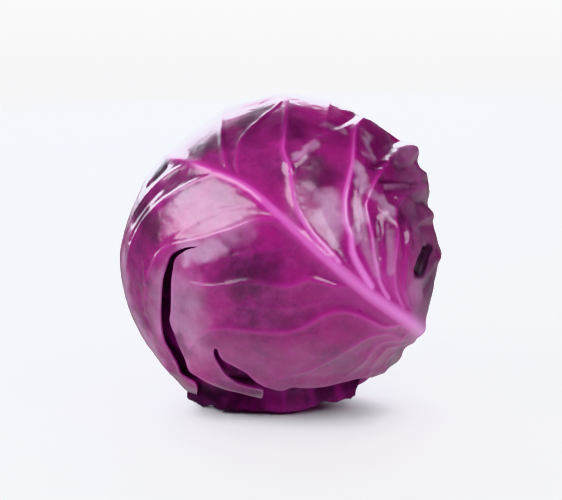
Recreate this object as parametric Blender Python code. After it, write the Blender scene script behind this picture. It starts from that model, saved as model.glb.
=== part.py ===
"""Red cabbage head: a dense inner head, five wrapper leaves around it and the cut stem.

Lengths are in millimetres until the last step, which writes metres. The head rests on its
underside on the plane z = 0. Every blade is a thin sheet around the head, given by its
radius from the middle of the head in each direction.
"""
import math

import bmesh
import bpy
import numpy as np
from mathutils import Vector
from mathutils.geometry import delaunay_2d_cdt

HEAD_RADIUS = 79.0  # mean radius across the front
HEAD_HALF_DEPTH = 75.0  # from the middle to the foremost leaf
CENTRE = np.array([0.11, 0.42, 76.5])  # middle of the head, which centres its bounds
FRONT_TILT = math.radians(10.0)  # the front outline is taken looking down by this much
# radius of the front outline every 10 degrees, from the right and going up
LIMB = np.array([79.4, 79.0, 80.0, 81.4, 81.4, 79.6, 78.6, 78.4, 78.2, 77.8, 75.6, 75.2,
                 73.6, 73.4, 74.2, 76.0, 76.4, 77.6, 79.4, 80.4, 81.0, 81.2, 81.8, 83.0,
                 83.6, 82.4, 80.6, 78.6, 76.8, 76.6, 77.8, 79.6, 80.4, 80.4, 79.6, 79.4])
RELIEF = 1.6  # added all round for the small veins and wrinkles that a plain blade leaves out
BLADE = 1.0  # thickness of a leaf blade
STEP = 2.3  # depth from one leaf's outer face to the next one's
CORE_GAP = 0.7  # extra room around the inner head
FADE = 30.0  # length over which a leaf rises again beyond the margin that lies on it
STEM_SIDE = math.radians(102.0)  # stem axis, from straight ahead
STEM_DROP = math.radians(-29.4)  # and below the level
STEM_RIM = 10.2  # half angle of the cut stem, degrees
STEM_CUT = 1.5  # the cut face lies this far inside the outline
RIB_HEIGHT = 3.0
RIB_WIDTH = 5.5

RIGHT = np.array([1.0, 0.0, 0.0])
RISE = np.array([0.0, math.sin(FRONT_TILT), math.cos(FRONT_TILT)])
NEAR = np.array([0.0, -math.cos(FRONT_TILT), math.sin(FRONT_TILT)])


def unit(v):
    return v / np.linalg.norm(v, axis=-1, keepdims=True)


def smooth(t):
    t = np.clip(t, 0.0, 1.0)
    return t * t * (3.0 - 2.0 * t)


def limb(theta):
    """Radius of the front outline at an angle, by a closed smooth curve."""
    t = np.mod(theta, 2 * math.pi) / math.radians(10.0)
    i = np.floor(t).astype(int)
    f = t - i
    a, b, c, d = (LIMB[(i + k) % 36] for k in (-1, 0, 1, 2))
    return b + 0.5 * f * (c - a + f * (2 * a - 5 * b + 4 * c - d + f * (3 * (b - c) + d - a)))


def seen(x, z):
    """Direction of a point at x across and z up in the front view; beyond the outline it
    goes on around the back by the same arc length."""
    theta = np.arctan2(z, x)
    rho = np.hypot(x, z) / limb(theta)
    alpha = np.where(rho <= 1, np.arcsin(np.minimum(rho, 1)), math.pi / 2 + rho - 1)
    side = np.cos(theta)[..., None] * RIGHT + np.sin(theta)[..., None] * RISE
    return np.cos(alpha)[..., None] * NEAR + np.sin(alpha)[..., None] * side


STEM = (math.cos(STEM_SIDE) * NEAR + math.sin(STEM_SIDE)
        * (math.cos(STEM_DROP) * RIGHT + math.sin(STEM_DROP) * RISE))
AHEAD = unit(NEAR - (NEAR @ STEM) * STEM)
ABOVE = np.cross(AHEAD, STEM)
ABOVE = ABOVE if ABOVE @ RISE > 0 else -ABOVE


def around(beta, phi):
    """Direction at beta degrees from the stem, phi degrees around it from the front."""
    b, p = np.radians(beta), np.radians(phi)
    return (np.cos(b)[..., None] * STEM + np.sin(b)[..., None]
            * (np.cos(p)[..., None] * AHEAD + np.sin(p)[..., None] * ABOVE))


def arc_distance(p, a, b):
    """Least distance of each point to the segments from a to b, with segment and share."""
    best = np.full(len(p), 1e9)
    which = np.zeros(len(p), int)
    share = np.zeros(len(p))
    for k in range(len(a)):
        e = b[k] - a[k]
        t = np.clip((p - a[k]) @ e / max(e @ e, 1e-9), 0, 1)
        d = np.linalg.norm(p - a[k] - t[:, None] * e, axis=1)
        near = d < best
        best[near], which[near], share[near] = d[near], k, t[near]
    return best, which, share


def inside(p, ring):
    """Which plane points lie inside a closed ring."""
    hit = np.zeros(len(p), bool)
    for a, b in zip(ring, np.roll(ring, -1, axis=0)):
        cut = (a[1] > p[:, 1]) != (b[1] > p[:, 1])
        x = a[0] + (p[:, 1] - a[1]) * (b[0] - a[0]) / (b[1] - a[1] + 1e-12)
        hit ^= cut & (p[:, 0] < x)
    return hit


def curve(points, spacing, closed):
    """Smooth curve through the points, no piece longer than the spacing."""
    p = np.asarray(points, float)
    n = len(p)
    out = []
    for i in range(n if closed else n - 1):
        q = [p[(i + k) % n] if closed else p[min(max(i + k, 0), n - 1)] for k in (-1, 0, 1, 2)]
        m = max(1, int(math.ceil(np.linalg.norm(q[2] - q[1]) / spacing)))
        for f in np.arange(m) / m:
            out.append(q[1] + 0.5 * f * (q[2] - q[0] + f * (2 * q[0] - 5 * q[1] + 4 * q[2] - q[3]
                       + f * (3 * (q[1] - q[2]) + q[3] - q[0]))))
    if not closed:
        out.append(p[-1])
    return np.array(out)


class Leaf:
    """A blade: its plane map, its outline and veins in that plane, and its mesh pitch."""

    def __init__(self, name, middle, toward, outline, veins, pitch):
        self.name, self.pitch = name, pitch
        self.c = middle
        self.u = unit(toward - (toward @ middle) * middle)
        self.v = np.cross(self.u, self.c)
        self.ring = curve(self.flat(outline), pitch * 0.8, True)
        self.ring3 = self.round(self.ring) * HEAD_RADIUS
        self.veins = [(curve(self.flat(line), pitch * 0.9, False), height, width)
                      for line, height, width in veins]

    def flat(self, d):
        """Plane point of a direction: arc length from the leaf's middle, true bearing."""
        angle = np.arccos(np.clip(d @ self.c, -1, 1))
        bearing = np.arctan2(d @ self.v, d @ self.u)
        return HEAD_RADIUS * angle[:, None] * np.stack([np.cos(bearing), np.sin(bearing)], 1)

    def round(self, q):
        """Direction of a plane point."""
        angle = np.linalg.norm(q, axis=1) / HEAD_RADIUS
        bearing = np.arctan2(q[:, 1], q[:, 0])
        side = np.cos(bearing)[:, None] * self.u + np.sin(bearing)[:, None] * self.v
        return np.cos(angle)[:, None] * self.c + np.sin(angle)[:, None] * side

    def beyond(self, d):
        """Distance outside the outline, 0 inside."""
        far = arc_distance(d * HEAD_RADIUS, self.ring3, np.roll(self.ring3, -1, axis=0))[0]
        return np.where(inside(self.flat(d), self.ring), 0.0, far)

    def cover(self, d):
        """1 under this leaf, falling to 0 beyond its margin."""
        fade = 16.0 + (FADE - 16.0) * smooth((stem_angle(d) - 18.0) / 24.0)
        return 1.0 - smooth((self.beyond(d) - 2.0) / fade)

    def ribs(self, d):
        """Height of the solid ribs of midrib and side veins."""
        high = np.zeros(len(d))
        for line, height, width in self.veins:
            at = self.round(line) * HEAD_RADIUS
            dist, piece, share = arc_distance(d * HEAD_RADIUS, at[:-1], at[1:])
            along = (piece + share) / (len(at) - 1)
            wide = width * (1.0 - 0.6 * along)
            bump = np.clip(1.0 - (dist / wide) ** 2, 0, 1) ** 2
            high = np.maximum(high, height * (1.0 - 0.75 * along) * bump)
        return high


def stem_angle(d):
    return np.degrees(np.arccos(np.clip(d @ STEM, -1, 1)))


def near_line(d, points, reach):
    """1 on a line given in the front view, falling to 0 at the reach."""
    at = seen(*np.array(points, float).T) * HEAD_RADIUS
    return 1.0 - smooth(arc_distance(d * HEAD_RADIUS, at[:-1], at[1:])[0] / reach)


# outline of the front leaf in the front view: stem, lower margin, hooked tear, long tear,
# then the margin that wraps around the left and the top
LOWER = [(64.5, -48.0), (61, -53), (55.5, -60), (48, -61.5), (40, -61.5), (30, -63.3),
         (21, -65.0), (12, -65.5), (6.5, -65.3), (0.5, -66.3), (-5, -65.5), (-10.5, -63.8),
         (-17, -60.6), (-23, -58), (-27.5, -56), (-30.6, -53.5), (-32.4, -50.4)]
HOOK = [(-33.8, -51.2), (-33.4, -54.5), (-31, -58.5), (-27, -63.3), (-21, -66.8), (-14, -68.3),
        (-8.5, -69.0), (-9, -73.3), (-13.5, -72.3), (-19, -70.8), (-27.5, -69.3),
        (-33.5, -67.3), (-41, -63.0)]
TEAR = [(-44.8, -60.2), (-46.6, -57.0), (-48.3, -52.8), (-50.9, -47.0), (-53.6, -41.3),
        (-55.4, -35.5), (-55.3, -31), (-55.2, -24), (-54.9, -16), (-53.7, -9.5), (-51.6, -4.2),
        (-47, -0.6), (-40, 1.6), (-47, 0.9), (-52.4, -1.8), (-55, -5.5), (-56.9, -10.5),
        (-58.3, -16), (-59.0, -24), (-59.2, -30), (-58.9, -36), (-58.2, -41.5), (-56.6, -47),
        (-53.6, -52.8), (-51.0, -58), (-49.2, -62), (-45.6, -64.6), (-42.2, -66.8),
        (-41.0, -70.0)]
WRAP = [(-42.3, -73.6), (-49, -77.5), (-56, -74), (-68, -66), (-80, -52), (-90, -36), (-96, -18),
        (-98, 2), (-97, 22), (-96, 42), (-93, 62), (-84, 80), (-70, 90), (-50, 98), (-28, 101),
        (-8, 98), (12, 95), (28, 91), (42, 84), (54, 75), (65, 65), (74, 54), (80, 43),
        (84, 31), (86, 19), (86.5, 7), (86, -5), (84.5, -17), (81.5, -26)]
MIDRIB = [(68, -38.5), (45, -22.5), (23.5, -5), (7, 10), (-3.5, 19), (-15.5, 28.5), (-31, 36),
          (-41.5, 40.5), (-53, 44.5), (-60, 46.5)]
SIDE_VEINS = [
    [(60, -34), (61.5, -16), (61.5, -5), (66.5, 10), (75, 17.5)],
    [(50, -26), (57, -17), (55, 9), (60, 25), (73.5, 31)],
    [(44, -22), (46.5, -7), (43, 13.5), (46, 30), (62.5, 52.5)],
    [(38, -17), (34, 5), (32.5, 24.5), (35.5, 44), (44, 66)],
    [(24, -6), (9.5, 15.5), (4.5, 39.5), (1.5, 49.5), (-1, 69.5)],
    [(4.5, 39.5), (21, 53.5), (27.5, 67.5), (30, 76)],
    [(-20, 31), (-26, 45), (-26, 60), (-24, 73)],
    [(-41.5, 40.5), (-55, 30), (-70, 14), (-79, 0)],
    [(-32.5, 33.5), (-52.5, 25), (-70, 9), (-75, -25)],
    [(1, 11), (-15, 10), (-31.5, 6.5), (-39, 4.8)],
    [(50, -26), (32, -22.5), (12.5, -14.5), (-14.5, -17.5), (-52, -17)],
    [(58, -31.5), (39.5, -32), (12.5, -35.5), (-20, -40.5), (-42.5, -48.5)],
    [(62, -35), (43, -42), (23.5, -50.5), (1.5, -60), (-12.5, -64)],
    [(65, -37), (45, -48.5), (37.5, -55), (26, -62)]]

# half outline of the other leaves: degrees from the stem, share of the half width
HALF = [(11.2, 0.0), (11.2, 0.2), (11.6, 0.36), (15, 0.5), (21, 0.64), (30, 0.78), (42, 0.9),
        (56, 0.97), (72, 1.0), (90, 1.0), (108, 0.95), (124, 0.86), (138, 0.7), (149, 0.5),
        (155, 0.26), (157, 0.0)]


def front_leaf(pitch):
    base = around(np.full(5, 11.2), np.array([38.0, 18.0, 0.0, -18.0, -34.0]))
    outline = np.concatenate([base, seen(*np.array(LOWER + HOOK + TEAR + WRAP, float).T)])
    veins = [(seen(*np.array(MIDRIB, float).T), RIB_HEIGHT, RIB_WIDTH)]
    veins += [(seen(*np.array(v, float).T), 1.3, 3.4) for v in SIDE_VEINS]
    return Leaf("front_leaf", NEAR, RIGHT, outline, veins, pitch)


def other_leaf(name, turn, left, right, waves, pitch):
    """A whole leaf around the stem at a turn, with its own width on either side."""
    beta = np.array([h[0] for h in HALF] + [h[0] for h in HALF[-2:0:-1]], float)
    share = np.array([h[1] for h in HALF] + [-h[1] for h in HALF[-2:0:-1]], float)
    wide = np.where(share > 0, left, right) * share
    k = np.arange(len(beta))
    wide = wide + np.where(beta > 25, 3.0 * np.sin(waves * k + turn), 0.0)
    beta = beta + np.where(beta > 60, 3.0 * np.sin(1.7 * k + 0.5 * turn), 0.0)
    outline = around(beta, turn + wide)
    run = np.linspace(0.0, 1.0, 9)
    veins = [(around(13.0 + 130.0 * run, turn + 4.0 * np.sin(3 * run)), RIB_HEIGHT, RIB_WIDTH)]
    for n in range(5):
        start = 18.0 + 16.0 * n
        for side, width in ((1.0, left), (-1.0, right)):
            out = side * width * (0.86 - 0.06 * n) * run ** 0.8
            veins.append((around(start + 6.0 * side + (46.0 - 3.0 * n) * run ** 1.3, turn + out),
                          1.3, 3.4))
    return Leaf(name, around(np.array([84.0]), np.array([turn + 0.5 * (left - right)]))[0],
                -STEM, outline, veins, pitch)


LEAVES = [front_leaf(9.5), other_leaf("under_leaf", 290.0, 78.0, 52.0, 2.1, 12.0),
          other_leaf("top_leaf", 80.0, 70.0, 72.0, 1.9, 12.0),
          other_leaf("rear_upper_leaf", 140.0, 72.0, 74.0, 2.3, 12.0),
          other_leaf("rear_lower_leaf", 212.0, 72.0, 72.0, 2.0, 12.0)]
DOWN = np.array([0.0, 0.0, -1.0])
TEAR_LINES = [TEAR[3:13:3], [(-47, -60), (-30, -66), (-10, -69)]]
CRUMPLE = [(62, 46), (60, 24), (68, -8)]


def envelope(d):
    """Radius of the head where its outermost leaf lies plain."""
    x, z, y = d @ RIGHT, d @ RISE, d @ NEAR
    s = np.hypot(x, z)
    plain = 1.0 / np.sqrt((s / HEAD_RADIUS) ** 2 + (y / HEAD_HALF_DEPTH) ** 2)
    return plain + (limb(np.arctan2(z, x)) - HEAD_RADIUS) * s ** 4 + RELIEF


def depths(d):
    """Depth of each leaf and of the inner head below the envelope, and what covers it."""
    loose = 3.0 * np.maximum(near_line(d, TEAR_LINES[0], 36.0), near_line(d, TEAR_LINES[1], 34.0))
    loose = np.maximum(loose, 3.5 * near_line(d, CRUMPLE, 40.0))
    total, clear, rows = np.zeros(len(d)), np.ones(len(d)), []
    for n, leaf in enumerate(LEAVES):
        rows.append((total.copy(), clear.copy()))
        c = leaf.cover(d)
        total = total + (STEP + (loose if n == 0 else 0.0)) * c
        clear = clear * (1.0 - c)
    core = np.maximum(total + CORE_GAP, 12.0 * (1.0 - smooth((stem_angle(d) - 14.0) / 22.0)))
    rows.append((core, clear))
    return rows


def press(d, rows):
    """How far all layers are pushed in above the flat spot on the underside."""
    down = np.clip(d @ DOWN, 0.05, 1.0)
    return np.maximum(0.0, envelope(d) - rows[1][0] - CENTRE[2] / down)


def flat_zone(d):
    return 1.0 - smooth((np.degrees(np.arccos(np.clip(d @ DOWN, -1, 1))) - 23.0) / 12.0)


def folds(d):
    """Lifts, folds and hollows of the front leaf: its lifted tear edge and crumpled side."""
    high = 1.3 * near_line(d, [(-51, 1.5), (-60, -14), (-61.5, -30), (-55, -57.5)], 8.0)
    high -= 1.1 * near_line(d, [(-48, -2.2), (-53, -11.5), (-54.5, -31), (-52, -42)], 5.0)
    high += 1.8 * near_line(d, [(50, -59), (37, -62.5), (20, -65), (-12, -64.5)], 9.0)
    high += 3.4 * near_line(d, [(63, 47), (67, 50.5)], 11.0)
    high -= 2.0 * near_line(d, [(50, 34), (76, 34)], 6.0)
    high += 1.4 * near_line(d, [(66, 31), (74, 34)], 8.0)
    high -= 3.2 * near_line(d, [(66, 24.5), (86, 23)], 7.0)
    high -= 2.6 * near_line(d, [(78, 15), (78.5, 8)], 9.0)
    high -= 3.4 * near_line(d, [(72, 2), (67, -12)], 7.0)
    high -= 1.8 * near_line(d, [(77, -16), (75, -28)], 7.0)
    return high


def hollow(d):
    """The hollows of the front leaf, which push in everything that lies beneath it."""
    return np.minimum(folds(d), 0.0)


def leaf_radii(n, d):
    """Outer and inner radius of leaf n."""
    rows = depths(d)
    deep, clear = rows[n]
    leaf = LEAVES[n]
    open_part = clear * (1.0 - flat_zone(d))
    base = envelope(d) - deep - press(d, rows) + (folds(d) if n == 0 else hollow(d))
    return base + leaf.ribs(d) * open_part, base - BLADE


def spread(kept, new, gap):
    """The new plane points that keep a distance from those kept."""
    out = []
    for q in new:
        if np.min(np.hypot(*(kept - q).T)) > gap:
            out.append(q)
            kept = np.vstack([kept, q])
    return kept, out


def blade_mesh(leaf):
    """Triangles of a leaf plane, following its outline and veins."""
    ring = leaf.ring
    points = [tuple(q) for q in ring]
    edges = [(i, (i + 1) % len(ring)) for i in range(len(ring))]
    kept = ring.copy()
    for line, _, _ in leaf.veins:
        ok = inside(line, ring)
        far = arc_distance(line, ring, np.roll(ring, -1, axis=0))[0]
        last = None
        for q, good, room in zip(line, ok, far):
            if not (good and room > 2.0) or np.min(np.hypot(*(kept - q).T)) < 1.5:
                last = None if not good else last
                continue
            points.append(tuple(q))
            kept = np.vstack([kept, q])
            if last is not None:
                edges.append((last, len(points) - 1))
            last = len(points) - 1
    edge = flat_edge()
    spots = leaf.flat(np.concatenate([edge, unit(edge * 0.5 + DOWN * 0.5)]))
    kept, new = spread(kept, spots[inside(spots, ring)], 1.2)
    points += [tuple(q) for q in new]
    feet = []
    for line, _, width in leaf.veins:
        side = np.gradient(line, axis=0)
        side = np.stack([-side[:, 1], side[:, 0]], 1) / np.linalg.norm(side, axis=1)[:, None]
        taper = width * (1.0 - 0.6 * np.linspace(0, 1, len(line)))[:, None]
        feet += list(line + side * taper) + list(line - side * taper)
    feet = [q for q in feet if inside(np.array([q]), ring)[0]]
    kept, new = spread(kept, feet, 3.2)
    points += [tuple(q) for q in new]
    for pitch, near in ((6.0, True), (leaf.pitch, False)):
        n = int(2.1 * HEAD_RADIUS / pitch)
        i, j = np.meshgrid(np.arange(-n, n + 1), np.arange(-n, n + 1))
        grid = np.stack([(i + 0.5 * (j % 2)).ravel() * pitch, j.ravel() * pitch * 0.866], 1)
        grid = grid[inside(grid, ring)]
        grid = grid[arc_distance(grid, ring, np.roll(ring, -1, axis=0))[0] > 0.42 * pitch]
        close = stem_angle(leaf.round(grid)) < 28.0
        kept, new = spread(kept, grid[close] if near else grid[~close], 0.6 * pitch)
        points += [tuple(q) for q in new]
    verts, _, faces, _, _, _ = delaunay_2d_cdt([Vector(p) for p in points], edges, [], 0, 0.05)
    verts = np.array([tuple(v) for v in verts])
    faces = np.array([tuple(f) for f in faces])
    corners = verts[faces]
    e1, e2 = corners[:, 1] - corners[:, 0], corners[:, 2] - corners[:, 0]
    area = 0.5 * (e1[:, 0] * e2[:, 1] - e1[:, 1] * e2[:, 0])
    keep = inside(corners.mean(axis=1), ring) & (np.abs(area) > 0.02)
    faces = np.where((area > 0)[:, None], faces, faces[:, ::-1])[keep]
    used = np.unique(faces)
    index = np.full(len(verts), -1)
    index[used] = np.arange(len(used))
    return verts[used], index[faces]


def flat_edge():
    """Directions around the rim of the flat spot."""
    turn = np.linspace(0, 2 * math.pi, 20, endpoint=False)
    low, high = np.zeros(20), np.full(20, math.radians(40.0))
    for _ in range(26):
        mid = 0.5 * (low + high)
        d = np.stack([np.sin(mid) * np.cos(turn), np.sin(mid) * np.sin(turn), -np.cos(mid)], 1)
        on = press(d, depths(d)) > 0
        low, high = np.where(on, mid, low), np.where(on, high, mid)
    return d


def solid(name, verts, faces, colour, rough):
    mesh = bpy.data.meshes.new(name)
    mesh.from_pydata((np.asarray(verts) * 0.001).tolist(), [], [list(map(int, f)) for f in faces])
    mesh.update()
    obj = bpy.data.objects.new(name, mesh)
    bpy.context.scene.collection.objects.link(obj)
    mat = bpy.data.materials.new(name)
    mat.use_nodes = True
    shader = mat.node_tree.nodes["Principled BSDF"]
    shader.inputs["Base Color"].default_value = (*colour, 1.0)
    shader.inputs["Roughness"].default_value = rough
    shader.inputs["Metallic"].default_value = 0.0
    mesh.materials.append(mat)
    return obj


def sheet(name, d, faces, outer, inner, colour, rough):
    """Closed body between two radii over the same triangles."""
    n = len(d)
    toward = np.cross(d[faces[0][1]] - d[faces[0][0]], d[faces[0][2]] - d[faces[0][0]])
    if toward @ d[faces[0][0]] < 0:
        faces = faces[:, ::-1]
    half = {}
    for a, b, c in faces:
        half[(a, b)], half[(b, c)], half[(c, a)] = 1, 1, 1
    wall = []
    for a, b in half:
        if (b, a) not in half:
            wall += [(b, a, a + n), (b, a + n, b + n)]
    verts = np.concatenate([CENTRE + d * outer[:, None], CENTRE + d * inner[:, None]])
    every = np.concatenate([faces, faces[:, ::-1] + n, np.array(wall)])
    return solid(name, verts, every, colour, rough)


def main():
    for obj in list(bpy.data.objects):
        bpy.data.objects.remove(obj)
    tones = [(0.30, 0.02, 0.17), (0.16, 0.015, 0.11), (0.26, 0.025, 0.16), (0.22, 0.02, 0.14),
             (0.19, 0.02, 0.13)]
    for n, leaf in enumerate(LEAVES):
        plane, faces = blade_mesh(leaf)
        d = leaf.round(plane)
        outer, inner = leaf_radii(n, d)
        sheet(leaf.name, d, faces, outer, inner, tones[n], 0.35)

    ball = bmesh.new()
    bmesh.ops.create_icosphere(ball, subdivisions=4, radius=1.0)
    d = unit(np.array([tuple(v.co) for v in ball.verts]))
    faces = [[v.index for v in f.verts] for f in ball.faces]
    ball.free()
    rows = depths(d)
    radius = envelope(d) - rows[-1][0] - press(d, rows) + hollow(d)
    solid("inner_head", CENTRE + d * radius[:, None], faces, (0.45, 0.16, 0.36), 0.5)

    rings, count = (3.4, 6.8, STEM_RIM), 20
    turn = np.arange(count) * 360.0 / count
    d = np.concatenate([STEM[None]] + [around(np.full(count, b), turn) for b in rings])
    faces = [(0, 1 + i, 1 + (i + 1) % count) for i in range(count)]
    for k in range(len(rings) - 1):
        for i in range(count):
            a, b = 1 + k * count + i, 1 + k * count + (i + 1) % count
            faces += [(a, a + count, b + count), (a, b + count, b)]
    rows = depths(d)
    cut = (envelope(STEM[None])[0] - STEM_CUT) / (d @ STEM)
    sheet("stem", d, np.array(faces), cut, envelope(d) - rows[-1][0] + 0.45,
          (0.62, 0.55, 0.45), 0.6)


main()
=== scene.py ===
"""Looks of a red cabbage head: waxy veined wrapper leaves, the inner head and the cut stem."""
import math

import bmesh
import bpy
import numpy as np
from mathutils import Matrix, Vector
from mathutils.geometry import delaunay_2d_cdt
from mathutils.kdtree import KDTree


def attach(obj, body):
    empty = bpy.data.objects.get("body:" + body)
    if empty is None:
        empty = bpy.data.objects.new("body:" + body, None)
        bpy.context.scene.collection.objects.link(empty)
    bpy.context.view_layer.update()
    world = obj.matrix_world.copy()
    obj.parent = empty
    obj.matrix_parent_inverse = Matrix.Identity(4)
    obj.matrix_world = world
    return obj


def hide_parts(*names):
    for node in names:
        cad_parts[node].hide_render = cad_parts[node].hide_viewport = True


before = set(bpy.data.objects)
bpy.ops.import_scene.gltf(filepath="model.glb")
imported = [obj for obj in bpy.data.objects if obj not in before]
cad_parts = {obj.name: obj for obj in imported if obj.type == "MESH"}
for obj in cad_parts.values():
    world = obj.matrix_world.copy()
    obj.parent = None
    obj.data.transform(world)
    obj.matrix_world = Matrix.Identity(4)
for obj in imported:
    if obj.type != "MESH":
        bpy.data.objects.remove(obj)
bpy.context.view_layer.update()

# Front leaf: the outermost wrapper leaf, a thick waxy blade with a broad midrib. It grows from
# the stem at the lower right and wraps the front, the left and the top. It is torn twice at the
# lower left and crumpled along its right side. All lengths here are millimetres.
HEAD_RADIUS = 79.0
HEAD_HALF_DEPTH = 75.0
CENTRE = np.array([0.11, 0.42, 76.5])
FRONT_TILT = math.radians(10.0)
# radius of the front outline every 10 degrees, from the right and going up
LIMB = np.array([79.4, 79.0, 80.0, 81.4, 81.4, 79.6, 78.6, 78.4, 78.2, 77.8, 75.6, 75.2,
                 73.6, 73.4, 74.2, 76.0, 76.4, 77.6, 79.4, 80.4, 81.0, 81.2, 81.8, 83.0,
                 83.6, 82.4, 80.6, 78.6, 76.8, 76.6, 77.8, 79.6, 80.4, 80.4, 79.6, 79.4])
# thickness of a blade, and depth from one leaf to the next
BLADE = 1.0
STEP = 2.3
# how far beyond its margin a leaf still presses on those below it, and the same at the stem
FADE, FADE_AT_STEM = 30.0, 16.0
# where the stem points: its angle from the viewer, and its slope seen from the front
STEM_SIDE, STEM_DROP = math.radians(102.0), math.radians(-29.4)
# height and half width of a vein at its root, on a whole leaf
MIDRIB_HEIGHT, MIDRIB_WIDTH = 3.0, 5.2
SIDE_HEIGHT, SIDE_WIDTH = 1.3, 2.2
# a vein's own share of its height, and the reach over which the blade is drawn up to it; only
# veins higher than DRAWS_UP draw the blade, at most as far out as DRAWN_OUT
RIB_SHARE, TENT_REACH = 0.45, 6.5
DRAWS_UP, DRAWN_OUT = 0.5, 22.0
# spacing of the mesh points on a blade, and of the points along its margin
FRONT_PITCH, WHOLE_PITCH = 1.15, 1.6
MARGIN_PITCH, MARGIN_STEP = 5.0, 0.7
# width of the paler strip along a margin
EDGE_WIDTH = 1.6

RIGHT = np.array([1.0, 0.0, 0.0])
RISE = np.array([0.0, math.sin(FRONT_TILT), math.cos(FRONT_TILT)])
NEAR = np.array([0.0, -math.cos(FRONT_TILT), math.sin(FRONT_TILT)])


def unit(v):
    """Vectors scaled to length 1."""
    return v / np.linalg.norm(v, axis=-1, keepdims=True)


def smooth(t):
    """Soft step from 0 to 1 while t goes from 0 to 1."""
    t = np.clip(t, 0.0, 1.0)
    return t * t * (3.0 - 2.0 * t)


def limb(theta):
    """Radius of the front outline at an angle, by a closed smooth curve."""
    t = np.mod(theta, 2 * math.pi) / math.radians(10.0)
    i = np.floor(t).astype(int)
    f = t - i
    a, b, c, d = (LIMB[(i + k) % 36] for k in (-1, 0, 1, 2))
    return b + 0.5 * f * (c - a + f * (2 * a - 5 * b + 4 * c - d + f * (3 * (b - c) + d - a)))


def seen(x, z):
    """Direction of a point at x across and z up in the front view; beyond the outline it
    goes on around the back by the same arc length."""
    theta = np.arctan2(z, x)
    rho = np.hypot(x, z) / limb(theta)
    alpha = np.where(rho <= 1, np.arcsin(np.minimum(rho, 1)), math.pi / 2 + rho - 1)
    side = np.cos(theta)[..., None] * RIGHT + np.sin(theta)[..., None] * RISE
    return np.cos(alpha)[..., None] * NEAR + np.sin(alpha)[..., None] * side


STEM = (math.cos(STEM_SIDE) * NEAR + math.sin(STEM_SIDE)
        * (math.cos(STEM_DROP) * RIGHT + math.sin(STEM_DROP) * RISE))
AHEAD = unit(NEAR - (NEAR @ STEM) * STEM)
ABOVE = np.cross(AHEAD, STEM)
ABOVE = ABOVE if ABOVE @ RISE > 0 else -ABOVE


def around(beta, phi):
    """Direction at beta degrees from the stem, phi degrees around it from the front."""
    b, p = np.radians(beta), np.radians(phi)
    return (np.cos(b)[..., None] * STEM + np.sin(b)[..., None]
            * (np.cos(p)[..., None] * AHEAD + np.sin(p)[..., None] * ABOVE))


def stem_angle(d):
    """Degrees between a direction and the stem."""
    return np.degrees(np.arccos(np.clip(d @ STEM, -1, 1)))


def arc_distance(p, a, b):
    """Least distance of each point to the segments from a to b, with segment and share."""
    best = np.full(len(p), 1e9)
    which = np.zeros(len(p), int)
    share = np.zeros(len(p))
    for k in range(len(a)):
        e = b[k] - a[k]
        t = np.clip((p - a[k]) @ e / max(e @ e, 1e-9), 0, 1)
        d = np.linalg.norm(p - a[k] - t[:, None] * e, axis=1)
        near = d < best
        best[near], which[near], share[near] = d[near], k, t[near]
    return best, which, share


def tree_of(points):
    """Search tree over points in space."""
    tree = KDTree(len(points))
    for k, q in enumerate(points.tolist()):
        tree.insert(q, k)
    tree.balance()
    return tree


def tree_distance(p, tree):
    """Distance of each point to the nearest one in the tree."""
    return np.array([tree.find(q)[2] for q in p.tolist()])


def inside(p, ring):
    """Which plane points lie inside a closed ring."""
    hit = np.zeros(len(p), bool)
    for a, b in zip(ring, np.roll(ring, -1, axis=0)):
        cut = (a[1] > p[:, 1]) != (b[1] > p[:, 1])
        x = a[0] + (p[:, 1] - a[1]) * (b[0] - a[0]) / (b[1] - a[1] + 1e-12)
        hit ^= cut & (p[:, 0] < x)
    return hit


def curve(points, spacing, closed):
    """Smooth curve through the points, no piece longer than the spacing."""
    p = np.asarray(points, float)
    n = len(p)
    out = []
    for i in range(n if closed else n - 1):
        q = [p[(i + k) % n] if closed else p[min(max(i + k, 0), n - 1)] for k in (-1, 0, 1, 2)]
        m = max(1, int(math.ceil(np.linalg.norm(q[2] - q[1]) / spacing)))
        for f in np.arange(m) / m:
            out.append(q[1] + 0.5 * f * (q[2] - q[0] + f * (2 * q[0] - 5 * q[1] + 4 * q[2] - q[3]
                       + f * (3 * (q[1] - q[2]) + q[3] - q[0]))))
    if not closed:
        out.append(p[-1])
    return np.array(out)


def noise(d, size, seed):
    """Smooth noise from -1 to 1 over the head, with lumps of about the size given."""
    p = d * HEAD_RADIUS / size + seed * 17.3
    i = np.floor(p).astype(np.int64)
    f = p - i
    f = f * f * f * (f * (f * 6 - 15) + 10)
    total = np.zeros(len(p))
    for corner in np.ndindex(2, 2, 2):
        c = np.array(corner)
        q = i + c
        h = (q[:, 0] * 73856093) ^ (q[:, 1] * 19349663) ^ (q[:, 2] * 83492791)
        h = ((h ^ (h >> 13)) * 1274126177) & 0x7FFFFFFF
        h = ((h ^ (h >> 15)) * 668265263) & 0x7FFFFFFF
        total += np.prod(np.where(c == 1, f, 1 - f), axis=1) * (h / 0x3FFFFFFF - 1.0)
    return total


def layered(d, size, seed, layers):
    """Noise with finer layers on top, each about half as large and as strong."""
    return sum(noise(d, size / 1.9 ** k, seed + k) * 0.55 ** k for k in range(layers))


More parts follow.
